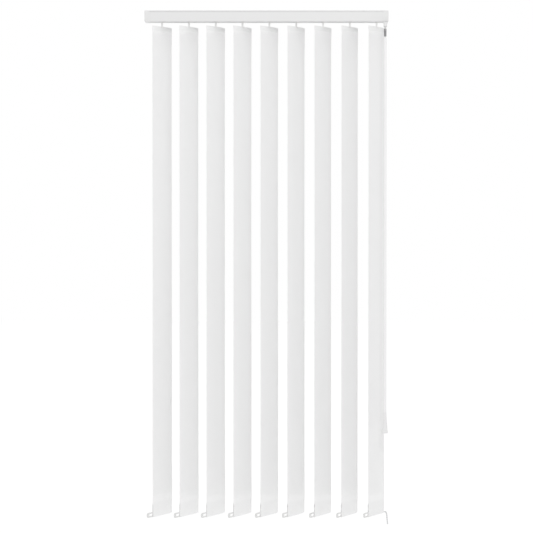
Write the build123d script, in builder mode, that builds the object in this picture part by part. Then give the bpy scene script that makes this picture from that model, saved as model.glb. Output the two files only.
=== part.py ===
from build123d import *
from math import cos, radians, sin
import os

# A vertical blind: nine fabric slats hang from geared carriers in an aluminium headrail.
# X runs along the rail, -Y faces the room and Z is up.
# The origin is the middle of the rail's top face. All lengths are in millimetres.

# Slats
slat_count = 9
slat_width = 89.0
slat_pitch = 79.5
slat_angle = 54.0  # degrees from the rail, the front edge towards the left
slat_length = 1451.5
slat_drop = 13.3  # rail underside to the slats' top edge
fabric = 0.5
top_pocket_depth = 13.0
top_pocket_taper = 2.0
bottom_pocket_taper = 22.0
hem_band = 4.0  # height of the welded double layer
hanger_notch_width = 12.0
hanger_notch_depth = 4.5

# Slat weights
weight_front_margin = 0.5  # slat's front edge to the weight
weight_rear_margin = 11.5
weight_height = 31.0
weight_thickness = 2.2
weight_corner = 1.2
weight_ease = 0.1  # weight to the inside of its pocket
ear_reach = 26.5  # how far the loop stands out of the slat's front edge
ear_height = 14.5
ear_corner = 5.5
ear_hole_length = 16.0
ear_hole_height = 6.5
ear_hole_inset = 2.0  # slat edge to the start of the hole

# Headrail
first_slat_inset = 50.6  # left end of the blind to the first stem
last_slat_inset = 33.6  # last stem to the right end of the blind
rail_depth = 43.0
rail_height = 32.0
rail_wall = 1.4
rail_floor = 1.6
rail_corner = 1.6
stem_slot_width = 11.0
slot_lip_height = 1.6
slot_lip_thickness = 1.2
clip_lip = 1.6  # height of the edge that the ceiling clips grip
clip_groove_height = 2.4
clip_groove_depth = 1.4

# End caps and the control arm
cap_width = 15.5
cap_overhang = 0.4  # how far a cap stands proud of the rail's faces
cap_edge = 1.0
plug_length = 7.0
plug_fit = 0.3
rod_seat = 9.0  # how deep the rod stands in a cap
arm_root_depth = 5.0
arm_root_rear = 6.0
arm_side = 2.5  # cap face to the arm's flank
arm_slat_gap = 2.0
boss_radius = 5.0
boss_top_drop = 8.0  # rail underside to the top of the boss
boss_bottom_drop = 20.0

# Carriers
carrier_length = 18.0
carrier_width = 34.0
carrier_top_drop = 9.0  # rail top to carrier top
carrier_corner = 1.5
lip_clearance = 0.4
running_gap = 0.3
neck_length = 13.0
neck_clearance = 0.6
neck_drop = 1.5
runner_width = 4.5
runner_length = 5.0
strip_slot_width = 8.0
strip_slot_side = 1.5  # wall outside the spacer slot
strip_width = 7.0
strip_thickness = 0.4
strip_step = 1.1
strip_levels = 4
strip_slot_floor_drop = 6.6  # carrier top to the floor of the spacer slot
strip_root_length = 8.0
strip_root_bite = 0.5
strip_overrun = 1.0  # strip end beyond the next carrier
strip_hook_height = 0.6

# Tilt train
worm_teeth = 16
wheel_radius = 6.0
wheel_root_radius = 4.6
wheel_thickness = 5.0
wheel_tooth_root = 1.3
wheel_tooth_tip = 0.7
wheel_clearance = 0.4
rod_drop = 18.0  # rail top to rod axis
rod_radius = 3.0
rod_groove_width = 1.4
rod_groove_depth = 0.8
rod_grooves = 3
shaft_clearance = 0.1
worm_radius = 4.5
worm_length = 12.0
worm_clearance = 0.3
journal_radius = 3.9
key_clearance = 0.15

# Hangers
stem_radius = 2.5
collar_radius = 3.6
collar_height = 1.5
blade_width = 6.4
blade_thickness = 2.6
hanger_plate_margin = 11.5  # slat edge to the end of the plate
hanger_plate_thickness = 1.0
hanger_plate_gap = 0.2  # plate to the inside of the top pocket

# Wand
wand_inset = 12.2  # right end of the blind to the wand's axis
wand_clearance = 1.2  # grip to the circle that the slat edges sweep
spindle_radius = 2.4
spindle_seat = 8.0
spindle_flange_radius = 4.2
spindle_flange = 1.7
eye_thickness = 2.2
eye_width = 6.4
eye_drop = 4.5  # flange to the middle of the eye
eye_clearance = 0.3
wire_radius = 1.1
wire_gap = 0.3  # eye to the hook's legs
hook_leg = 4.2  # middle of the eye to the hook's barrel
barrel_radius = 3.7
barrel_length = 17.8
fork_slot = 3.0
fork_depth = 9.5
pin_rise = 4.5  # barrel's lower end to the cross pin
pin_radius = 1.0
pin_clearance = 0.2
tongue_thickness = 2.4
tongue_width = 4.4
tongue_reach = 2.0  # barrel's lower end to the wand's shoulder
shoulder_taper = 4.0
wand_radius = 4.1
wand_length = 1169.0  # cross pin to the lower end of the grip
grip_length = 61.0
grip_top_radius = 4.7
grip_waist_radius = 6.2
grip_end_radius = 8.8
grip_edge = 2.0
grip_socket = 14.0
grip_fit = 0.05

# Chain end on the last slat
chain_wire_radius = 1.0
chain_bead_radius = 2.8
chain_bead_pitch = 6.0
chain_start_rise = 1.0  # weight's lower edge to the chain
chain_edge_gap = 0.4  # slat edge to the nearest bead
chain_bend_radius = 12.0
chain_bend_angle = 80.0  # degrees
chain_fall = 28.5

overrun = 1.0  # how far a cut runs past the face that it leaves

# Places worked out from the sizes above
blind_length = first_slat_inset + (slat_count - 1) * slat_pitch + last_slat_inset
rail_length = blind_length - 2 * cap_width
stem_xs = [first_slat_inset - blind_length / 2 + n * slat_pitch for n in range(slat_count)]
floor_z = rail_floor - rail_height
carrier_top_z = -carrier_top_drop
carrier_bottom_z = floor_z + slot_lip_height + lip_clearance
neck_bottom_z = -rail_height - neck_drop
rod_y = wheel_radius + worm_radius + worm_clearance
rod_z = -rod_drop
wheel_bottom_z = rod_z - wheel_thickness / 2
slat_top_z = -rail_height - slat_drop
slat_bottom_z = slat_top_z - slat_length
top_half_gap = hanger_plate_thickness / 2 + hanger_plate_gap
bottom_half_gap = weight_thickness / 2 + weight_ease
weight_bottom_z = slat_bottom_z + fabric + bottom_half_gap
weight_left_x = weight_front_margin - slat_width / 2
weight_right_x = slat_width / 2 - weight_rear_margin
wand_x = blind_length / 2 - wand_inset
wand_y = -(slat_width / 2 + grip_end_radius + wand_clearance)
boss_bottom_z = -rail_height - boss_bottom_drop
flange_bottom_z = boss_bottom_z - running_gap - spindle_flange
eye_z = flange_bottom_z - eye_drop
barrel_bottom_z = eye_z - hook_leg - barrel_length
pin_z = barrel_bottom_z + pin_rise
wand_bottom_z = pin_z - wand_length
grip_top_z = wand_bottom_z + grip_length

os.makedirs("parts", exist_ok=True)


def keep(part, name):
    part.label = name
    export_step(part, f"parts/{name}.step")


# Headrail: a C-shaped extrusion, slotted below, with a grip groove along each upper edge
cavity_width = rail_depth - 2 * rail_wall
cavity_height = rail_height - rail_wall - rail_floor
groove_rib_height = clip_lip + clip_groove_height + rail_wall
groove_rib_y = cavity_width / 2 - clip_groove_depth / 2
groove_z = -clip_lip - clip_groove_height / 2
lip_y = stem_slot_width / 2 + slot_lip_thickness / 2
with BuildPart() as headrail:
    with BuildSketch(Plane.YZ):
        with Locations((0, -rail_height / 2)):
            RectangleRounded(rail_depth, rail_height, rail_corner)
        with Locations((0, floor_z + cavity_height / 2)):
            Rectangle(cavity_width, cavity_height, mode=Mode.SUBTRACT)
        with Locations((-groove_rib_y, -groove_rib_height / 2), (groove_rib_y, -groove_rib_height / 2)):
            Rectangle(clip_groove_depth, groove_rib_height)
        with Locations((-rail_depth / 2, groove_z), (rail_depth / 2, groove_z)):
            Rectangle(2 * clip_groove_depth, clip_groove_height, mode=Mode.SUBTRACT)
        with Locations((-lip_y, floor_z + slot_lip_height / 2), (lip_y, floor_z + slot_lip_height / 2)):
            Rectangle(slot_lip_thickness, slot_lip_height)
        with Locations((0, floor_z - rail_floor / 2)):
            Rectangle(stem_slot_width, rail_floor + 2 * overrun, mode=Mode.SUBTRACT)
    extrude(amount=rail_length / 2, both=True)
keep(headrail.part, "headrail")


# End caps: a block with the rail's outline, a plug inside the rail and a seat for the rod.
# On the right one an arm slopes forward from the underside to the boss that holds the wand's spindle.
cap_height = rail_height + cap_overhang
plug_width = cavity_width - 2 * clip_groove_depth - 2 * plug_fit
plug_top_z = -rail_wall - plug_fit
plug_height = plug_top_z - carrier_bottom_z
arm_root_width = cap_width - 2 * arm_side
arm_root_front = rail_depth / 2 - arm_side
arm_root_x = blind_length / 2 - cap_width / 2
boss_front_y = wand_y - boss_radius
boss_rear_y = wand_y + boss_radius
boss_top_z = -rail_height - boss_top_drop
arm_low_z = slat_top_z + arm_slat_gap
for side, cap_name in ((-1, "end_cap_left"), (1, "end_cap_right")):
    inner_face = Plane.YZ.offset(side * rail_length / 2)
    with BuildPart() as end_cap:
        if side > 0:
            with BuildSketch(Plane.XY.offset(boss_bottom_z)):
                with Locations((arm_root_x, -(arm_root_front + arm_root_rear) / 2)):
                    Rectangle(arm_root_width, arm_root_front - arm_root_rear)
                with Locations((wand_x, wand_y)):
                    Circle(boss_radius)
                make_hull()
            extrude(amount=boss_bottom_drop)
            with BuildSketch(Plane.YZ):
                with BuildLine():
                    Polyline(
                        (-arm_root_rear, -rail_height),
                        (-arm_root_front, -rail_height),
                        (wand_y, boss_top_z),
                        (boss_front_y, boss_top_z),
                        (boss_front_y, boss_bottom_z),
                        (boss_rear_y, boss_bottom_z),
                        (boss_rear_y, arm_low_z),
                        (-arm_root_rear, -rail_height - arm_root_depth),
                        close=True,
                    )
                make_face()
            extrude(amount=blind_length, mode=Mode.INTERSECT)
            with BuildSketch(Plane.XY.offset(boss_bottom_z)):
                with Locations((wand_x, wand_y)):
                    Circle(spindle_radius + shaft_clearance)
            extrude(amount=spindle_seat + running_gap, mode=Mode.SUBTRACT)
        with BuildSketch(inner_face):
            with Locations((0, -cap_height / 2)):
                RectangleRounded(rail_depth + 2 * cap_overhang, cap_height, rail_corner)
        extrude(amount=side * cap_width)
        end_face = faces().sort_by(Axis.X)[-1 if side > 0 else 0]
        chamfer(end_face.edges(), cap_edge)
        with BuildSketch(inner_face):
            with Locations((0, plug_top_z - plug_height / 2)):
                Rectangle(plug_width, plug_height)
        extrude(amount=-side * plug_length)
        with BuildSketch(inner_face.offset(-side * (plug_length + overrun))):
            with Locations((rod_y, rod_z)):
                Circle(rod_radius + shaft_clearance)
        extrude(amount=side * (overrun + plug_length + rod_seat + running_gap), mode=Mode.SUBTRACT)
    keep(end_cap.part, cap_name)

# Tilt rod: a grooved shaft that turns every worm and lets them slide
rod_half_length = rail_length / 2 + rod_seat
with BuildPart() as tilt_rod:
    with BuildSketch(Plane.YZ):
        with Locations((rod_y, rod_z)):
            Circle(rod_radius)
            with PolarLocations(rod_radius, rod_grooves):
                Rectangle(2 * rod_groove_depth, rod_groove_width, mode=Mode.SUBTRACT)
    extrude(amount=rod_half_length, both=True)
keep(tilt_rod.part, "tilt_rod")

# Carriers: wheel well and worm trough open to the top, a neck in the rail's slot, and a spacer strip
neck_width = stem_slot_width - 2 * neck_clearance
runner_x = carrier_length / 2 - runner_length / 2
runner_y = carrier_width / 2 - runner_width / 2
runner_bottom_z = floor_z + running_gap
trough_radius = worm_radius + worm_clearance
strip_y = -(carrier_width / 2 - strip_slot_side - strip_slot_width / 2)
strip_floor_z = carrier_top_z - strip_slot_floor_drop
strip_root_width = strip_slot_width + 2 * strip_root_bite
strip_end_x = slat_pitch + carrier_length / 2 + strip_overrun


def make_carrier(level):
    with BuildPart() as carrier:
        with BuildSketch(Plane.XY.offset(carrier_bottom_z)):
            RectangleRounded(carrier_length, carrier_width, carrier_corner)
        extrude(amount=carrier_top_z - carrier_bottom_z)
        with BuildSketch(Plane.XY.offset(neck_bottom_z)):
            Rectangle(neck_length, neck_width)
        extrude(amount=carrier_bottom_z - neck_bottom_z)
        with BuildSketch(Plane.XY.offset(runner_bottom_z)):
            with GridLocations(2 * runner_x, 2 * runner_y, 2, 2):
                Rectangle(runner_length, runner_width)
        extrude(amount=carrier_bottom_z - runner_bottom_z)
        with BuildSketch(Plane.XY.offset(neck_bottom_z - overrun)):
            Circle(stem_radius + shaft_clearance)
        extrude(until=Until.LAST, mode=Mode.SUBTRACT)
        with BuildSketch(Plane.XY.offset(wheel_bottom_z - running_gap)):
            Circle(wheel_radius + wheel_clearance)
        extrude(until=Until.LAST, mode=Mode.SUBTRACT)
        trough_height = carrier_top_z + overrun - rod_z
        for radius, half_length in (
            (trough_radius, worm_length / 2 + running_gap),
            (journal_radius + shaft_clearance, carrier_length / 2 + overrun),
        ):
            with BuildSketch(Plane.YZ):
                with Locations((rod_y, rod_z)):
                    Circle(radius)
                with Locations((rod_y, rod_z + trough_height / 2)):
                    Rectangle(2 * radius, trough_height)
            extrude(amount=half_length, both=True, mode=Mode.SUBTRACT)
        with BuildSketch(Plane.YZ):
            with Locations((strip_y, strip_floor_z + (strip_slot_floor_drop + overrun) / 2)):
                Rectangle(strip_slot_width, strip_slot_floor_drop + overrun)
        extrude(amount=carrier_length / 2 + overrun, both=True, mode=Mode.SUBTRACT)
        if level is not None:
            strip_z = strip_floor_z + strip_step * (level + 1 / 2)
            with BuildSketch(Plane.XY.offset(strip_z)):
                with Locations((0, strip_y)):
                    Rectangle(strip_root_length, strip_root_width)
                with Locations((strip_end_x / 2, strip_y)):
                    Rectangle(strip_end_x, strip_width)
            extrude(amount=strip_thickness)
            with BuildSketch(Plane.XY.offset(strip_z)):
                with Locations((strip_end_x - strip_thickness / 2, strip_y)):
                    Rectangle(strip_thickness, strip_width)
            extrude(amount=strip_hook_height)
    return carrier.part


# Worms: a barrel between two journals, keyed to the rod's grooves
with BuildPart() as worm:
    with BuildSketch(Plane.YZ):
        with Locations((rod_y, rod_z)):
            Circle(worm_radius)
    extrude(amount=worm_length / 2, both=True)
    with BuildSketch(Plane.YZ):
        with Locations((rod_y, rod_z)):
            Circle(journal_radius)
    extrude(amount=carrier_length / 2, both=True)
    with BuildSketch(Plane.YZ):
        with Locations((rod_y, rod_z)):
            Circle(rod_radius + shaft_clearance)
            with PolarLocations(rod_radius, rod_grooves):
                Rectangle(
                    2 * (rod_groove_depth - key_clearance),
                    rod_groove_width - 2 * key_clearance,
                    mode=Mode.SUBTRACT,
                )
    extrude(amount=carrier_length / 2, both=True, mode=Mode.SUBTRACT)

# Hangers: a toothed wheel, the stem that it turns, and the plate inside the slat's top pocket
collar_top_z = neck_bottom_z - running_gap
blade_bottom_z = slat_top_z - hanger_notch_depth + hanger_plate_gap
plate_top_z = slat_top_z - fabric - top_half_gap
plate_bottom_z = slat_top_z - top_pocket_depth
with BuildPart() as hanger:
    with BuildSketch(Plane.XY.offset(wheel_bottom_z)):
        Circle(wheel_root_radius)
        with PolarLocations(0, worm_teeth):
            with BuildLine():
                Polyline(
                    (0, -wheel_tooth_root / 2),
                    (wheel_root_radius, -wheel_tooth_root / 2),
                    (wheel_radius, -wheel_tooth_tip / 2),
                    (wheel_radius, wheel_tooth_tip / 2),
                    (wheel_root_radius, wheel_tooth_root / 2),
                    (0, wheel_tooth_root / 2),
                    close=True,
                )
            make_face()
    extrude(amount=wheel_thickness)
    with BuildSketch(Plane.XY.offset(collar_top_z)):
        Circle(stem_radius)
    extrude(amount=wheel_bottom_z - collar_top_z)
    with BuildSketch(Plane.XY.offset(collar_top_z - collar_height)):
        Circle(collar_radius)
    extrude(amount=collar_height)
    with BuildSketch(Plane.XY.offset(blade_bottom_z)):
        RectangleRounded(blade_width, blade_thickness, blade_thickness / 3)
    extrude(amount=collar_top_z - collar_height - blade_bottom_z)
    with BuildSketch(Plane.XZ):
        with Locations((0, (plate_top_z + plate_bottom_z) / 2)):
            Rectangle(slat_width - 2 * hanger_plate_margin, plate_top_z - plate_bottom_z)
    extrude(amount=hanger_plate_thickness / 2, both=True)


# Slats: one strip of fabric, folded into a welded pocket at each end
bottom_pocket_depth = weight_bottom_z - slat_bottom_z + weight_height + weight_ease
sheet_top_z = slat_top_z - top_pocket_depth - top_pocket_taper
sheet_bottom_z = slat_bottom_z + bottom_pocket_depth + bottom_pocket_taper
pockets = (
    (slat_top_z, -1, top_half_gap, top_pocket_depth, top_pocket_taper),
    (slat_bottom_z, 1, bottom_half_gap, bottom_pocket_depth, bottom_pocket_taper),
)
with BuildPart() as slat:
    with BuildSketch(Plane.YZ):
        with Locations((0, (sheet_top_z + sheet_bottom_z) / 2)):
            Rectangle(fabric, sheet_top_z - sheet_bottom_z)
        for fold_z, inward, half_gap, depth, taper in pockets:
            half = half_gap + fabric
            round_z = fold_z + inward * half
            straight_z = fold_z + inward * depth
            weld_z = straight_z + inward * taper
            band_z = weld_z + inward * hem_band
            with BuildLine():
                Polyline((-half, round_z), (-half, straight_z), (-fabric, weld_z), (-fabric, band_z))
                Line((-fabric, band_z), (fabric, band_z))
                Polyline((fabric, band_z), (fabric, weld_z), (half, straight_z), (half, round_z))
                ThreePointArc((-half, round_z), (0, fold_z), (half, round_z))
            make_face()
            with BuildLine():
                Polyline((-half_gap, round_z), (-half_gap, straight_z), (0, weld_z))
                Polyline((0, weld_z), (half_gap, straight_z), (half_gap, round_z))
                ThreePointArc((-half_gap, round_z), (0, fold_z + inward * fabric), (half_gap, round_z))
            make_face(mode=Mode.SUBTRACT)
    extrude(amount=slat_width / 2, both=True)
    with BuildSketch(Plane.XZ):
        with Locations((0, slat_top_z - (hanger_notch_depth - overrun) / 2)):
            Rectangle(hanger_notch_width, hanger_notch_depth + overrun)
    extrude(amount=slat_width / 2, both=True, mode=Mode.SUBTRACT)

# Slat weights: a flat bar with a loop that stands out of the slat's front edge
ear_left_x = -(slat_width / 2 + ear_reach)
ear_length = ear_reach + weight_front_margin + 2 * ear_corner
ear_hole_x = -(slat_width / 2 + ear_hole_inset + ear_hole_length / 2)
with BuildPart() as slat_weight:
    with BuildSketch(Plane.XZ):
        with Locations(((weight_left_x + weight_right_x) / 2, weight_bottom_z + weight_height / 2)):
            RectangleRounded(weight_right_x - weight_left_x, weight_height, weight_corner)
        with Locations((ear_left_x + ear_length / 2, weight_bottom_z + ear_height / 2)):
            RectangleRounded(ear_length, ear_height, ear_corner)
        with Locations((ear_hole_x, weight_bottom_z + ear_height / 2)):
            SlotOverall(ear_hole_length, ear_hole_height, mode=Mode.SUBTRACT)
    extrude(amount=weight_thickness / 2, both=True)

# Each slat's set, turned to the slats' angle where it hangs below the rail
for number, stem_x in enumerate(stem_xs, 1):
    along_rail = Location((stem_x, 0, 0))
    turned = Location((stem_x, 0, 0), (0, 0, slat_angle))
    linked = number < slat_count
    carrier_part = make_carrier(number % strip_levels if linked else None)
    keep(carrier_part.moved(along_rail), f"carrier_{number}")
    keep(worm.part.moved(along_rail), f"worm_{number}")
    keep(hanger.part.moved(turned), f"hanger_{number}")
    keep(slat.part.moved(turned), f"slat_{number}")
    keep(slat_weight.part.moved(turned), f"slat_weight_{number}")

# Chain end: a short beaded tail that leaves the last slat's rear lower corner
chain_z = weight_bottom_z + chain_start_rise
bend_x = slat_width / 2 + chain_bead_radius + chain_edge_gap


def bend_point(angle):
    along = chain_bend_radius * sin(radians(angle))
    down = chain_bend_radius * (1 - cos(radians(angle)))
    return Vector(bend_x + along, 0, chain_z - down)


bend_end = bend_point(chain_bend_angle)
fall = Vector(cos(radians(chain_bend_angle)), 0, -sin(radians(chain_bend_angle))) * chain_fall
with BuildPart() as chain_end:
    with BuildLine() as chain_path:
        Line((weight_right_x, 0, chain_z), bend_point(0))
        ThreePointArc(bend_point(0), bend_point(chain_bend_angle / 2), bend_end)
        Line(bend_end, bend_end + fall)
    with BuildSketch(Plane.YZ.offset(weight_right_x)):
        with Locations((0, chain_z)):
            Circle(chain_wire_radius)
    sweep()
    chain_wire = chain_path.wire()
    bead_count = 1 + int((chain_wire.length - (bend_x - weight_right_x)) / chain_bead_pitch)
    for bead in range(bead_count):
        along = chain_wire.length - bead * chain_bead_pitch
        with Locations(chain_wire.position_at(along, PositionMode.LENGTH)):
            Sphere(chain_bead_radius)
keep(chain_end.part.moved(Location((stem_xs[-1], 0, 0), (0, 0, slat_angle))), "chain_end")

# Wand spindle: a shaft in the boss, a flange below it and an eye for the hook
with BuildPart() as wand_spindle:
    with BuildSketch(Plane.XY.offset(flange_bottom_z)):
        with Locations((wand_x, wand_y)):
            Circle(spindle_flange_radius)
    extrude(amount=spindle_flange)
    with BuildSketch(Plane.XY.offset(flange_bottom_z)):
        with Locations((wand_x, wand_y)):
            Circle(spindle_radius)
    extrude(amount=spindle_flange + running_gap + spindle_seat)
    with BuildSketch(Plane.YZ.offset(wand_x)):
        with Locations((wand_y, eye_z)):
            Circle(eye_width / 2)
        with Locations((wand_y, eye_z + eye_drop / 2)):
            Rectangle(eye_width, eye_drop)
        with Locations((wand_y, eye_z)):
            Circle(wire_radius + eye_clearance, mode=Mode.SUBTRACT)
    extrude(amount=eye_thickness / 2, both=True)
keep(wand_spindle.part, "wand_spindle")

# Wand hook: a wire bail through the eye, on a forked barrel with a cross pin
leg_x = eye_thickness / 2 + wire_gap + wire_radius
with BuildPart() as wand_hook:
    with BuildSketch(Plane.YZ.offset(wand_x)):
        with Locations((wand_y, eye_z)):
            Circle(wire_radius)
    extrude(amount=leg_x, both=True)
    with BuildSketch(Plane.XY.offset(eye_z - hook_leg - wire_radius)):
        with Locations((wand_x - leg_x, wand_y), (wand_x + leg_x, wand_y)):
            Circle(wire_radius)
    extrude(amount=hook_leg + wire_radius)
    with Locations((wand_x - leg_x, wand_y, eye_z), (wand_x + leg_x, wand_y, eye_z)):
        Sphere(wire_radius)
    with BuildSketch(Plane.XY.offset(barrel_bottom_z)):
        with Locations((wand_x, wand_y)):
            Circle(barrel_radius)
    extrude(amount=barrel_length)
    with BuildSketch(Plane.YZ.offset(wand_x)):
        with Locations((wand_y, barrel_bottom_z + (fork_depth - overrun) / 2)):
            Rectangle(fork_slot, fork_depth + overrun)
    extrude(amount=barrel_radius + overrun, both=True, mode=Mode.SUBTRACT)
    with BuildSketch(Plane.XZ.offset(-wand_y)):
        with Locations((wand_x, pin_z)):
            Circle(pin_radius)
    extrude(amount=barrel_radius, both=True)
keep(wand_hook.part, "wand_hook")

# Wand: a round rod with a flat tongue in the hook's fork, and a flared grip
shoulder_z = barrel_bottom_z - tongue_reach
tongue_height = pin_z - shoulder_z + shoulder_taper
rod_top_z = shoulder_z - shoulder_taper
rod_bottom_z = grip_top_z - grip_socket
with BuildPart() as wand_rod:
    with BuildSketch(Plane.XY.offset(rod_bottom_z)):
        with Locations((wand_x, wand_y)):
            Circle(wand_radius)
    extrude(amount=rod_top_z - rod_bottom_z)
    with Locations((wand_x, wand_y, rod_top_z + shoulder_taper / 2)):
        Cone(wand_radius, tongue_width / 2, shoulder_taper)
    with BuildSketch(Plane.XZ.offset(-wand_y)):
        with Locations((wand_x, pin_z)):
            Circle(tongue_width / 2)
        with Locations((wand_x, pin_z - tongue_height / 2)):
            Rectangle(tongue_width, tongue_height)
        with Locations((wand_x, pin_z)):
            Circle(pin_radius + pin_clearance, mode=Mode.SUBTRACT)
    extrude(amount=tongue_thickness / 2, both=True)
keep(wand_rod.part, "wand_rod")

socket_radius = wand_radius + grip_fit
with BuildPart() as wand_grip:
    with BuildSketch(Plane.XZ.offset(-wand_y)):
        with BuildLine():
            Polyline(
                (wand_x + grip_end_radius - grip_edge, wand_bottom_z),
                (wand_x, wand_bottom_z),
                (wand_x, rod_bottom_z),
                (wand_x + socket_radius, rod_bottom_z),
                (wand_x + socket_radius, grip_top_z),
                (wand_x + grip_top_radius, grip_top_z),
            )
            ThreePointArc(
                (wand_x + grip_top_radius, grip_top_z),
                (wand_x + grip_waist_radius, (grip_top_z + wand_bottom_z) / 2),
                (wand_x + grip_end_radius, wand_bottom_z + grip_edge),
            )
            RadiusArc(
                (wand_x + grip_end_radius, wand_bottom_z + grip_edge),
                (wand_x + grip_end_radius - grip_edge, wand_bottom_z),
                grip_edge,
            )
        make_face()
    revolve(axis=Axis((wand_x, wand_y, 0), (0, 0, 1)))
keep(wand_grip.part, "wand_grip")
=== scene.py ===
import cmath
import math
from collections import namedtuple

import bpy
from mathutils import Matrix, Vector, noise


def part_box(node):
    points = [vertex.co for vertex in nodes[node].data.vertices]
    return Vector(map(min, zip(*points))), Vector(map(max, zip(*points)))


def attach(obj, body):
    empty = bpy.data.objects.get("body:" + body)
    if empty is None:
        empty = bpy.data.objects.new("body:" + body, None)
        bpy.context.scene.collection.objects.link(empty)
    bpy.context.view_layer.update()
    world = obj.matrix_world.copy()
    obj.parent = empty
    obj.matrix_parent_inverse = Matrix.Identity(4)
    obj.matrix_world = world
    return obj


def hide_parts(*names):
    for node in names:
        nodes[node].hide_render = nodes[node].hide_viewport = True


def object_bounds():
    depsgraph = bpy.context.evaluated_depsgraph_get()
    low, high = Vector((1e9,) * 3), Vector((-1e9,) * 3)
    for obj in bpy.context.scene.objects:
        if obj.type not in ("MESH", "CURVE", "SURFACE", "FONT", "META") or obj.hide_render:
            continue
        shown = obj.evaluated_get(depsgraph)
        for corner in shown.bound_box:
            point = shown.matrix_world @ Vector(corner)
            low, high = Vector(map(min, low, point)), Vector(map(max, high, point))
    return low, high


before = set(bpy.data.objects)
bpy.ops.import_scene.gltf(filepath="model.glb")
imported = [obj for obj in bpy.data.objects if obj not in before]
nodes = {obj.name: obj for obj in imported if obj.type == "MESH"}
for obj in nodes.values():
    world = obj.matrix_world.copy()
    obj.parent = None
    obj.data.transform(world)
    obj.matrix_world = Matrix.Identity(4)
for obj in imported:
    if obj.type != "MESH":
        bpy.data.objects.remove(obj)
cadLow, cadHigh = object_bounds()
scene = bpy.context.scene
scene.view_settings.view_transform = "Standard"


# small tools for building finishes
def startFinish(name, colour, rough):
    finish = bpy.data.materials.new(name)
    finish.use_nodes = True
    shader = finish.node_tree.nodes["Principled BSDF"]
    shader.inputs["Base Color"].default_value = (*colour, 1)
    shader.inputs["Roughness"].default_value = rough
    return finish, finish.node_tree, shader


def addNode(tree, kind, inputs=None, **settings):
    node = tree.nodes.new(kind)
    for key, value in settings.items():
        setattr(node, key, value)
    for key, value in (inputs or {}).items():
        node.inputs[key].default_value = value
    return node


def objectSpace(tree, sizes=(1, 1, 1)):
    space = addNode(tree, "ShaderNodeTexCoord")
    mapping = addNode(tree, "ShaderNodeMapping", {"Scale": [1 / size for size in sizes]})
    tree.links.new(space.outputs["Object"], mapping.inputs["Vector"])
    return mapping.outputs["Vector"]


def noiseOn(tree, vector, size=1.0, detail=3.0):
    cloud = addNode(tree, "ShaderNodeTexNoise", {"Scale": 1 / size, "Detail": detail})
    tree.links.new(vector, cloud.inputs["Vector"])
    return cloud.outputs["Fac"]


def spanTo(tree, value, low, high):
    span = addNode(tree, "ShaderNodeMapRange", {"To Min": low, "To Max": high})
    tree.links.new(value, span.inputs["Value"])
    return span.outputs["Result"]


def mathOn(tree, operation, first, second=0):
    step = addNode(tree, "ShaderNodeMath", operation=operation)
    for place, value in enumerate((first, second)):
        if isinstance(value, (int, float)):
            step.inputs[place].default_value = value
        else:
            tree.links.new(value, step.inputs[place])
    return step.outputs[0]


def weigh(tree, *pairs):
    # the sum of some values, each times its weight
    parts = [mathOn(tree, "MULTIPLY", value, weight) for value, weight in pairs]
    total = parts[0]
    for part in parts[1:]:
        total = mathOn(tree, "ADD", total, part)
    return total


def tint(tree, shader, share, colour, swing):
    # the colour drifts a little to both sides of the written one
    ramp = addNode(tree, "ShaderNodeMix", data_type="RGBA")
    ramp.inputs["A"].default_value = (*[part * (1 - swing) for part in colour], 1)
    ramp.inputs["B"].default_value = (*[min(part * (1 + swing), 1) for part in colour], 1)
    tree.links.new(share, ramp.inputs["Factor"])
    tree.links.new(ramp.outputs["Result"], shader.inputs["Base Color"])
    return ramp.outputs["Result"]


def roughen(tree, shader, share, rough, swing):
    fall, rise = swing
    tree.links.new(spanTo(tree, share, rough - fall, rough + rise), shader.inputs["Roughness"])


def pressBump(tree, shader, height, depth, strength):
    bump = addNode(tree, "ShaderNodeBump", {"Distance": depth, "Strength": strength})
    tree.links.new(height, bump.inputs["Height"])
    tree.links.new(bump.outputs["Normal"], shader.inputs["Normal"])


# slats: one strip of woven cloth each, folded to a pocket at both ends
slatCut = {
    "count": 9,
    "width": 0.089,
    "turn": 54.0,  # degrees from the rail
    "cloth": 0.0005,
    "topDepth": 0.013,
    "topTaper": 0.002,
    "topHalf": 0.00095,  # middle of the cloth, from the middle of the pocket
    "bottomDepth": 0.0328,
    "bottomTaper": 0.022,
    "bottomHalf": 0.00145,
    "band": 0.004,  # the weld across the strip
    "bandHalf": 0.00025,
    "weldPress": 0.00008,
    "shutHalf": 0.0003,  # where nothing holds the pocket open
    "shutRun": 0.007,
    "pinch": 4,  # the layers meet above the weight's front end
    "pinchRun": 0.014,
    "plateEnd": 0.033,
    "weightEnd": 0.033,
    "notchHalf": 0.006,
    "notchDepth": 0.0045,
    "cornerLean": 0.0004,  # how far the free rear corner falls back
    "cornerPast": 0.006,
    "cornerBelow": (0.019, 0.004),  # from the top
    "hemLean": 0.0010,
    "hemPast": 0.004,
    "hemAbove": (0.055, 0.03),  # from the bottom
    "freeBelow": (0.02, 0.09),  # where the pockets stop holding the cloth flat
    "freeAbove": (0.06, 0.14),
    "curlStart": 0.033,  # the rear edge curls back from here, after a shallow dip
    "curlDip": 0.0012,
    "curlBack": 0.0020,
    "curlPower": 1.5,
    "ripple": 0.00035,
    "rippleSize": (0.12, 0.42),
    "rippleShift": 3.7,  # so that no two slats hang alike
    "columnStep": 0.0028,
    "rowStep": 0.018,
    "firstRow": 0.01,  # from the weld
    "pocketStep": 0.004,
    "bandSteps": 4,
    "taperSteps": 8,
    "arcSteps": 8,
    "doubledWeld": 0.6,  # how doubled the cloth looks at the weld, 1 in the open pocket; the same share weights the painted pocket shade
    "doubledRise": (0.25, 0.95),
    "sharpAngle": 50,
}

# pocket is 1 in the top one, -1 in the bottom one and 0 between, share is how far the pocket stands open
stripRow = namedtuple("stripRow", "pocket side share angle z pressed")


def numbered(word):
    return [f"{word}_{n}" for n in range(1, slatCut["count"] + 1)]


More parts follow.
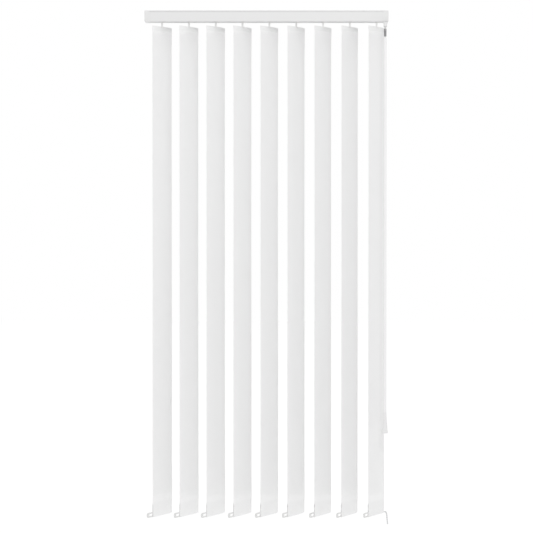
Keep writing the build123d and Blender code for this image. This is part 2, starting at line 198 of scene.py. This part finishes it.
def ease(value, start, end):
    share = min(max((value - start) / (end - start), 0), 1)
    return share * share * (3 - 2 * share)


def spread(stations, step):
    marks = []
    for low, high in zip(stations, stations[1:]):
        count = max(1, math.ceil(abs(high - low) / step))
        marks += [low + (high - low) * n / count for n in range(count)]
    return marks + [stations[-1]]


def stripRows(cut, top, bottom):
    rows = []
    for pocket, fold, depth, taper, half in (
        (1, top, cut["topDepth"], cut["topTaper"], cut["topHalf"]),
        (-1, bottom, cut["bottomDepth"], cut["bottomTaper"], cut["bottomHalf"]),
    ):
        arcZ = fold - pocket * (half + cut["cloth"] / 2)
        notchZ = fold - pocket * cut["notchDepth"]
        openZ = fold - pocket * depth
        weldZ = openZ - pocket * taper
        bandZ = weldZ - pocket * cut["band"]
        layer = []
        for z in spread([bandZ, (bandZ + weldZ) / 2, weldZ], cut["band"] / cut["bandSteps"]):
            pressed = 1 - abs(2 * (z - bandZ) / (weldZ - bandZ) - 1)
            layer.append((0.0, z, pressed))
        for z in spread([weldZ, openZ], taper / cut["taperSteps"])[1:]:
            layer.append((ease(z, weldZ, openZ), z, 0.0))
        for z in spread([openZ, notchZ, arcZ], cut["pocketStep"])[1:]:
            layer.append((1.0, z, 0.0))
        back = [stripRow(pocket, 1, share, 0.0, z, pressed) for share, z, pressed in layer]
        front = [stripRow(pocket, -1, share, 0.0, z, pressed) for share, z, pressed in reversed(layer)]
        steps = cut["arcSteps"]
        arc = [stripRow(pocket, 0, 1.0, math.pi * n / steps, arcZ, 0.0) for n in range(1, steps)]
        folded = back + arc + front
        if pocket > 0:
            rows += folded
            plainTop = bandZ
        else:
            first = cut["firstRow"]
            plain = spread([plainTop, plainTop - first, bandZ + first, bandZ], cut["rowStep"])
            rows += [stripRow(0, 0, 0.0, 0.0, z, 0.0) for z in plain[1:-1]]
            rows += folded[::-1]
    return rows


def rowPoint(cut, row, x, top, bottom, shift):
    pocket, side, share, angle, z, pressed = row
    edge = cut["width"] / 2
    free = ease(top - z, *cut["freeBelow"]) * ease(z - bottom, *cut["freeAbove"])
    sway = noise.noise(Vector((x / cut["rippleSize"][0], z / cut["rippleSize"][1], shift)))
    curl = cut["curlBack"] * ease(x, cut["curlStart"], edge) ** cut["curlPower"]
    y = cut["ripple"] * sway * free
    y += free * (curl - cut["curlDip"] * ease(x, 0, cut["curlStart"]))
    if pocket > 0:
        shut = ease(abs(x), cut["plateEnd"], cut["plateEnd"] + cut["shutRun"])
        half = cut["topHalf"] + (cut["shutHalf"] - cut["topHalf"]) * shut
        low, high = (top - below for below in cut["cornerBelow"])
        y += cut["cornerLean"] * ease(x, cut["plateEnd"], edge + cut["cornerPast"]) * ease(z, low, high)
    elif pocket < 0:
        share **= 1 + cut["pinch"] * ease(-x, edge - cut["pinchRun"], edge)
        shut = ease(x, cut["weightEnd"], cut["weightEnd"] + cut["shutRun"])
        half = cut["bottomHalf"] + (cut["shutHalf"] - cut["bottomHalf"]) * shut
        high, low = (bottom + above for above in cut["hemAbove"])
        y += cut["hemLean"] * ease(x, cut["weightEnd"], edge + cut["hemPast"]) * ease(-z, -high, -low)
    if pocket and not side:
        y += half * math.cos(angle)
        z += pocket * half * math.sin(angle)
    elif pocket:
        flat = cut["bandHalf"] - cut["weldPress"] * pressed
        y += side * (flat + (half - cut["bandHalf"]) * share)
    return Vector((x, y, z))


def stripFaces(cells, wide, under):
    # one skin, the other skin under it, and the cut edges between them
    faces = []
    for row, column in sorted(cells):
        upper, lower = row * wide + column, (row + 1) * wide + column
        faces.append((upper, lower, lower + 1, upper + 1))
        faces.append((under + upper, under + upper + 1, under + lower + 1, under + lower))
        edges = {
            (row - 1, column): (upper + 1, upper),
            (row + 1, column): (lower, lower + 1),
            (row, column - 1): (upper, lower),
            (row, column + 1): (lower + 1, upper + 1),
        }
        for beside, (first, second) in edges.items():
            if beside not in cells:
                faces.append((first, second, under + second, under + first))
    return faces


def weaveSlat(number):
    cut = slatCut
    low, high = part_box(f"slat_{number}")
    top, bottom = high[2], low[2]
    edge = cut["width"] / 2
    stations = [-edge, -cut["plateEnd"], -cut["notchHalf"], cut["notchHalf"], cut["plateEnd"], edge]
    columns = spread(stations, cut["columnStep"])
    rows = stripRows(cut, top, bottom)
    wide, tall = len(columns), len(rows)
    shift = number * cut["rippleShift"]
    grid = [[rowPoint(cut, row, x, top, bottom, shift) for x in columns] for row in rows]
    run = [0.0]  # length of the strip as far as each row
    for above, below in zip(grid, grid[1:]):
        run.append(run[-1] + (below[wide // 4] - above[wide // 4]).length)
    skin = []
    for facing in (-0.5, 0.5):
        for row in range(tall):
            for column in range(wide):
                along = grid[row][min(column + 1, wide - 1)] - grid[row][max(column - 1, 0)]
                down = grid[min(row + 1, tall - 1)][column] - grid[max(row - 1, 0)][column]
                skin.append(grid[row][column] + along.cross(down).normalized() * facing * cut["cloth"])

    def inNotch(row, column):
        middle = (columns[column] + columns[column + 1]) / 2
        height = (grid[row][column].z + grid[row + 1][column].z) / 2
        return abs(middle) < cut["notchHalf"] and height > top - cut["notchDepth"]

    cells = {(row, column) for row in range(tall - 1) for column in range(wide - 1)}
    cells = {cell for cell in cells if not inNotch(*cell)}
    under = wide * tall
    faces = stripFaces(cells, wide, under)
    used = sorted({corner for face in faces for corner in face})
    fresh = {corner: n for n, corner in enumerate(used)}
    points = [skin[corner] for corner in used]
    mesh = bpy.data.meshes.new(f"cloth_slat_{number}")
    mesh.from_pydata(points, [], [[fresh[corner] for corner in face] for face in faces])
    weaveMap = mesh.uv_layers.new(name="weave")
    for loop in mesh.loops:
        spot = used[loop.vertex_index] % under
        weaveMap.data[loop.index].uv = (columns[spot % wide], run[spot // wide])
    doubled = mesh.attributes.new("doubled", "FLOAT", "POINT")
    weld = cut["doubledWeld"]
    for place, corner in enumerate(used):
        row = rows[corner % under // wide]
        risen = weld + (1 - weld) * ease(row.share, *cut["doubledRise"])
        doubled.data[place].value = risen if row.pocket else 0.0
    mesh.shade_smooth()
    mesh.set_sharp_from_angle(angle=math.radians(cut["sharpAngle"]))
    piece = bpy.data.objects.new(f"cloth_slat_{number}", mesh)
    scene.collection.objects.link(piece)
    piece.location = ((low[0] + high[0]) / 2, 0, 0)
    piece.rotation_euler[2] = math.radians(cut["turn"])
    mesh.materials.append(clothFinish)
    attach(piece, f"vane_{number}")
    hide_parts(f"slat_{number}")
    return len(faces)


# plain weave of matt white yarn, a thread each way every 0.6 mm, with thicker slubs along the weft
cloth = {
    "colour": (0.985, 0.985, 0.985),
    "hemShowThroughAndShade": (0.905, 0.905, 0.905),  # pockets painted greyer: partly the plate and the weight showing through, partly painted shade on the pockets at both ends
    "through": 0.16,  # light that one layer lets past, none where it is doubled
    "rough": 0.86,
    "roughSwing": (0.06, 0.06),
    "thread": 0.0006,
    "slub": (0.012, 0.0011, 1),
    "cloud": 0.05,
    "swing": 0.025,
    "slubShare": 0.55,
    # share of painted shade between the threads: crowns lighter, gaps darker
    "weaveShadeShare": 0.25,
    "cloudShare": 0.2,
    "depth": 0.00016,
    "slubHeight": 0.8,
    "press": 0.5,
    "sheen": 0.08,
    "sheenRough": 0.5,
    "shine": 0.25,
}


def makeCloth():
    finish, tree, shader = startFinish("woven cloth", cloth["colour"], cloth["rough"])
    space = addNode(tree, "ShaderNodeTexCoord").outputs["UV"]
    split = addNode(tree, "ShaderNodeSeparateXYZ")
    tree.links.new(space, split.inputs[0])
    waves = []
    for axis in ("X", "Y"):
        turns = mathOn(tree, "MULTIPLY", split.outputs[axis], math.pi / cloth["thread"])
        waves.append(mathOn(tree, "SINE", turns))
    crossing = mathOn(tree, "GREATER_THAN", mathOn(tree, "MULTIPLY", *waves), 0.0)
    over = addNode(tree, "ShaderNodeMix", data_type="FLOAT")  # by turns one thread and the other on top
    tree.links.new(crossing, over.inputs["Factor"])
    for socket, wave in zip(("A", "B"), waves):
        tree.links.new(mathOn(tree, "ABSOLUTE", wave), over.inputs[socket])
    weave = over.outputs[0]
    stretched = addNode(tree, "ShaderNodeMapping", {"Scale": [1 / size for size in cloth["slub"]]})
    tree.links.new(space, stretched.inputs["Vector"])
    slub = noiseOn(tree, stretched.outputs["Vector"], detail=2.0)
    cloud = noiseOn(tree, space, cloth["cloud"], 2.0)
    # random tone from slubs and clouds, plus painted shade between the threads from the weave's height
    shares = [cloth["slubShare"], cloth["weaveShadeShare"], cloth["cloudShare"]]
    toneAndThreadShade = weigh(tree, *zip((slub, weave, cloud), shares))
    plain = tint(tree, shader, toneAndThreadShade, cloth["colour"], cloth["swing"])
    doubled = addNode(tree, "ShaderNodeAttribute", attribute_name="doubled").outputs["Fac"]
    # where the cloth is doubled the colour turns greyer: the plate and weight showing through, and painted
    # shade
    hem = addNode(tree, "ShaderNodeMix", data_type="RGBA")
    hem.inputs["B"].default_value = (*cloth["hemShowThroughAndShade"], 1)
    tree.links.new(doubled, hem.inputs["Factor"])
    tree.links.new(plain, hem.inputs["A"])
    tree.links.new(hem.outputs["Result"], shader.inputs["Base Color"])
    roughen(tree, shader, slub, cloth["rough"], cloth["roughSwing"])
    height = mathOn(tree, "ADD", weave, mathOn(tree, "MULTIPLY", slub, cloth["slubHeight"]))
    pressBump(tree, shader, height, cloth["depth"], cloth["press"])
    shader.inputs["Sheen Weight"].default_value = cloth["sheen"]
    shader.inputs["Sheen Roughness"].default_value = cloth["sheenRough"]
    shader.inputs["Specular IOR Level"].default_value = cloth["shine"]
    through = addNode(tree, "ShaderNodeBsdfTranslucent", {"Color": (*cloth["colour"], 1)})
    thin = addNode(tree, "ShaderNodeMixShader")
    single = mathOn(tree, "SUBTRACT", 1, mathOn(tree, "MULTIPLY", doubled, 2))
    tree.links.new(spanTo(tree, single, 0, cloth["through"]), thin.inputs["Fac"])
    tree.links.new(shader.outputs[0], thin.inputs[1])
    tree.links.new(through.outputs[0], thin.inputs[2])
    tree.links.new(thin.outputs[0], tree.nodes["Material Output"].inputs["Surface"])
    return finish


clothFinish = makeCloth()
faceCount = sum(weaveSlat(number) for number in range(1, slatCut["count"] + 1))
print("slats woven:", faceCount, "faces")


# enamelled aluminium of the headrail: faint drawing lines along it and a fine orange peel
enamel = {
    "colour": (0.75, 0.75, 0.75),
    "rough": 0.34,
    "roughSwing": (0.05, 0.07),
    "line": (0.9, 0.0011, 0.0011),
    "lineHeight": 0.7,
    "peel": 0.0016,
    "peelHeight": 0.5,
    "swing": 0.012,
    "depth": 0.00004,
    "press": 0.6,
    "coat": 0.15,
    "coatRough": 0.25,
}


def makeEnamel():
    finish, tree, shader = startFinish("white enamel", enamel["colour"], enamel["rough"])
    lines = noiseOn(tree, objectSpace(tree, enamel["line"]), detail=2.0)
    peel = noiseOn(tree, objectSpace(tree), enamel["peel"], 1.0)
    tint(tree, shader, lines, enamel["colour"], enamel["swing"])
    roughen(tree, shader, peel, enamel["rough"], enamel["roughSwing"])
    height = weigh(tree, (lines, enamel["lineHeight"]), (peel, enamel["peelHeight"]))
    pressBump(tree, shader, height, enamel["depth"], enamel["press"])
    shader.inputs["Coat Weight"].default_value = enamel["coat"]
    shader.inputs["Coat Roughness"].default_value = enamel["coatRough"]
    return finish


# moulded plastics, each with its own colour, gloss and grain
moulded = {
    "cap_plastic": {
        "colour": (0.76, 0.76, 0.758), "rough": 0.42, "shine": 0.25, "grain": 0.0007, "depth": 0.00005},
    "carrier_plastic": {
        "colour": (0.76, 0.76, 0.75), "rough": 0.38, "shine": 0.35, "grain": 0.0009, "depth": 0.00004},
    "worm_plastic": {
        "colour": (0.72, 0.73, 0.74), "rough": 0.30, "shine": 0.4, "grain": 0.0008, "depth": 0.00003},
    "hanger_plastic": {
        "colour": (0.89, 0.89, 0.885), "rough": 0.36, "shine": 0.3, "grain": 0.0008, "depth": 0.00004},
    "weight_plastic": {
        "colour": (0.76, 0.76, 0.755), "rough": 0.33, "shine": 0.15, "grain": 0.0008, "depth": 0.00004},
    "chain_plastic": {
        "colour": (0.71, 0.715, 0.72), "rough": 0.24, "shine": 0.12, "grain": 0.0006, "depth": 0.00002},
    "spindle_plastic": {
        "colour": (0.56, 0.56, 0.555), "rough": 0.34, "shine": 0.25, "grain": 0.0007, "depth": 0.00003},
    "wand_plastic": {
        "colour": (0.87, 0.87, 0.87), "rough": 0.22, "shine": 0.2, "grain": 0.0011, "depth": 0.00003},
    "grip_plastic": {
        "colour": (0.81, 0.81, 0.81), "rough": 0.34, "shine": 0.12, "grain": 0.0007, "depth": 0.00005},
}
mouldMarks = {"flow": 25, "swing": 0.02, "roughSwing": (0.06, 0.08), "press": 0.5}  # flow is in grains


def makeMoulded(name, look):
    finish, tree, shader = startFinish(name.replace("_", " "), look["colour"], look["rough"])
    space = objectSpace(tree)
    grain = noiseOn(tree, space, look["grain"], 2.0)
    flow = noiseOn(tree, space, look["grain"] * mouldMarks["flow"])
    tint(tree, shader, flow, look["colour"], mouldMarks["swing"])
    roughen(tree, shader, flow, look["rough"], mouldMarks["roughSwing"])
    pressBump(tree, shader, grain, look["depth"], mouldMarks["press"])
    shader.inputs["Specular IOR Level"].default_value = look["shine"]
    return finish


# bare metals: the drawn tilt rod, and the dark plated hook of the wand
metals = {
    "rod_aluminium": {"colour": (0.78, 0.79, 0.80), "rough": 0.32, "streak": (0.05, 0.0006, 0.0006)},
    "hook_metal": {"colour": (0.26, 0.26, 0.265), "rough": 0.36, "streak": (0.0012, 0.0012, 0.006)},
}
drawMarks = {"swing": 0.08, "roughSwing": (0.1, 0.12), "depth": 0.00003, "press": 0.4}


def makeMetal(name, look):
    finish, tree, shader = startFinish(name.replace("_", " "), look["colour"], look["rough"])
    streak = noiseOn(tree, objectSpace(tree, look["streak"]))
    tint(tree, shader, streak, look["colour"], drawMarks["swing"])
    roughen(tree, shader, streak, look["rough"], drawMarks["roughSwing"])
    pressBump(tree, shader, streak, drawMarks["depth"], drawMarks["press"])
    shader.inputs["Metallic"].default_value = 1.0
    return finish


finishes = {name: makeMoulded(name, look) for name, look in moulded.items()}
finishes.update({name: makeMetal(name, look) for name, look in metals.items()})
finishes["rail_enamel"] = makeEnamel()
wearers = {
    "rail_enamel": ["headrail"],
    "cap_plastic": ["end_cap_left", "end_cap_right"],
    "rod_aluminium": ["tilt_rod"],
    "carrier_plastic": numbered("carrier"),
    "hanger_plastic": numbered("hanger"),
    "weight_plastic": numbered("slat_weight"),
    "chain_plastic": ["chain_end"],
    "spindle_plastic": ["wand_spindle"],
    "hook_metal": ["wand_hook"],
    "wand_plastic": ["wand_rod"],
    "grip_plastic": ["wand_grip"],
}
for finishName, pieceNames in wearers.items():
    for pieceName in pieceNames:
        for slot in nodes[pieceName].material_slots:
            slot.material = finishes[finishName]
print("finishes made:", len(finishes) + 1)


# worms: one right-hand thread round the barrel, a journal at each end and a keyed bore for the rod
wormCut = {
    "half": 0.009,
    "barrelHalf": 0.006,
    "crest": 0.0045,
    "depth": 0.0011,
    "flank": (0.3, 0.7),  # where the thread falls, with 0 on the crest and 1 in the valley
    "pitch": 0.00208,  # one tooth of the wheel a turn
    "crestMiddle": 0.00021,  # a gap between the wheel's teeth, where the crest passes
    "runOut": 0.0014,
    "journal": 0.0039,
    "bore": 0.0031,
    "keys": 3,
    "keyReach": 0.00235,
    "keyHalf": 0.00055,
    "keyCorner": 2,  # spokes from the middle of a key to its inner corner
    "spokes": 96,
    "ringsPerTurn": 14,
    "sharpAngle": 40,
}


def threadRadius(cut, x, angle):
    turn = (x - cut["crestMiddle"]) / cut["pitch"] - (angle - math.pi) / (2 * math.pi)
    away = abs(turn - round(turn)) * 2
    fade = ease(cut["barrelHalf"] - abs(x), 0, cut["runOut"])
    return cut["crest"] - cut["depth"] * ease(away, *cut["flank"]) * fade


def borePoint(cut, spoke):
    corner = cut["keyCorner"]
    spokesPerKey = cut["spokes"] // cut["keys"]
    key = round(spoke / spokesPerKey)
    aside = spoke - key * spokesPerKey
    if abs(aside) > corner + 1:
        return cmath.rect(cut["bore"], 2 * math.pi * spoke / cut["spokes"])
    foot = math.sqrt(cut["bore"] ** 2 - cut["keyHalf"] ** 2)  # where a key's side meets the bore
    along = cut["keyReach"] if abs(aside) <= corner else foot
    across = cut["keyHalf"] * max(-1, min(1, aside / corner))
    return complex(along, across) * cmath.rect(1, 2 * math.pi * key / cut["keys"])


def cutWorm(number):
    cut = wormCut
    low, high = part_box(f"worm_{number}")
    end, barrel, spokes = cut["half"], cut["barrelHalf"], cut["spokes"]
    angles = [2 * math.pi * spoke / spokes for spoke in range(spokes)]
    journal = [cmath.rect(cut["journal"], angle) for angle in angles]
    bore = [borePoint(cut, spoke) for spoke in range(spokes)]
    rings = [(-end, bore), (-end, journal), (-barrel, journal)]
    for x in spread([-barrel, barrel], cut["pitch"] / cut["ringsPerTurn"]):
        rings.append((x, [cmath.rect(threadRadius(cut, x, angle), angle) for angle in angles]))
    rings += [(barrel, journal), (end, journal), (end, bore)]
    points = [(x, point.real, point.imag) for x, ring in rings for point in ring]
    faces = []
    for ring in range(len(rings)):
        here, beside = ring * spokes, (ring + 1) % len(rings) * spokes
        for spoke in range(spokes):
            after = (spoke + 1) % spokes
            faces.append((here + spoke, here + after, beside + after, beside + spoke))
    mesh = bpy.data.meshes.new(f"threaded_worm_{number}")
    mesh.from_pydata(points, [], faces)
    mesh.shade_smooth()
    mesh.set_sharp_from_angle(angle=math.radians(cut["sharpAngle"]))
    mesh.materials.append(finishes["worm_plastic"])
    piece = bpy.data.objects.new(f"threaded_worm_{number}", mesh)
    scene.collection.objects.link(piece)
    piece.location = [(least + most) / 2 for least, most in zip(low, high)]
    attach(piece, f"worm_{number}")
    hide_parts(f"worm_{number}")
    return len(faces)


faceCount = sum(cutWorm(number) for number in range(1, slatCut["count"] + 1))
print("worms threaded:", faceCount, "faces")


# floor below the hanging slats, pale, and white where the camera looks straight at it
floorLook = {
    "drop": 0.30,
    "reach": 14.0,
    "colour": (0.90, 0.90, 0.90),
    "rough": 0.9,
    "mottle": 0.4,
    "swing": 0.01,
    "glow": (0.25, 0.345),  # for the light on the part, and as the camera sees it
}


def seenStraight(tree):
    path = addNode(tree, "ShaderNodeLightPath")
    seen = mathOn(tree, "MAXIMUM", path.outputs["Is Camera Ray"], path.outputs["Is Glossy Ray"])
    clear = mathOn(tree, "SUBTRACT", path.outputs["Is Transmission Ray"], path.outputs["Is Diffuse Ray"])
    return mathOn(tree, "MAXIMUM", seen, clear)  # light that filters through cloth counts as room light


def layFloor():
    height = cadLow[2] - floorLook["drop"]
    reach = floorLook["reach"]
    corners = [(x * reach, y * reach, height) for x, y in ((-1, -1), (1, -1), (1, 1), (-1, 1))]
    mesh = bpy.data.meshes.new("floor")
    mesh.from_pydata(corners, [], [(0, 1, 2, 3)])
    floor = bpy.data.objects.new("floor", mesh)
    scene.collection.objects.link(floor)
    finish, tree, shader = startFinish("pale floor", floorLook["colour"], floorLook["rough"])
    mottle = noiseOn(tree, objectSpace(tree), floorLook["mottle"])
    tint(tree, shader, mottle, floorLook["colour"], floorLook["swing"])
    shader.inputs["Emission Color"].default_value = (1, 1, 1, 1)
    shader.inputs["Specular IOR Level"].default_value = 0.0
    tree.links.new(spanTo(tree, seenStraight(tree), *floorLook["glow"]), shader.inputs["Emission Strength"])
    mesh.materials.append(finish)


# soft studio light: an even white room, a small lamp in front and a broad one above
studio = {
    "room": 0.73,
    "lamps": {
        "front": {"place": (0.65, -4.1, 1.75), "size": 0.45, "power": 30.0},
        "high": {"place": (0.4, -1.8, 2.6), "size": 1.8, "power": 14.0},
    },
    "aim": (0.0, 0.0, -0.7),
}


def lightStudio():
    room = bpy.data.worlds.new("white room")
    room.use_nodes = True
    tree = room.node_tree
    back = tree.nodes["Background"]
    back.inputs["Color"].default_value = (1, 1, 1, 1)
    tree.links.new(spanTo(tree, seenStraight(tree), studio["room"], 1.0), back.inputs["Strength"])
    scene.world = room
    for name, lamp in studio["lamps"].items():
        light = bpy.data.lights.new(name, "AREA")
        light.shape = "SQUARE"
        light.size = lamp["size"]
        light.energy = lamp["power"]
        holder = bpy.data.objects.new(name, light)
        scene.collection.objects.link(holder)
        holder.location = lamp["place"]
        beam = Vector(studio["aim"]) - Vector(lamp["place"])
        holder.rotation_euler = beam.to_track_quat("-Z", "Y").to_euler()


# camera straight in front, its horizon above the middle of the picture
eye = {
    "distance": 4.6,
    "height": -0.619,
    "frameWidth": 1.583,
    "shift": -0.05,
    "pitch": 0.727,  # degrees downward
    "sensor": 36.0,
    "farthest": 60,
}


def placeCamera():
    lens = bpy.data.cameras.new("camera")
    lens.sensor_width = eye["sensor"]
    lens.lens = eye["sensor"] * eye["distance"] / eye["frameWidth"]
    lens.shift_y = eye["shift"]
    lens.clip_end = eye["farthest"]
    camera = bpy.data.objects.new("camera", lens)
    scene.collection.objects.link(camera)
    camera.location = (0, -eye["distance"], eye["height"])
    camera.rotation_euler = (math.radians(90 - eye["pitch"]), 0, 0)
    scene.camera = camera


layFloor()
lightStudio()
placeCamera()
print("studio ready")
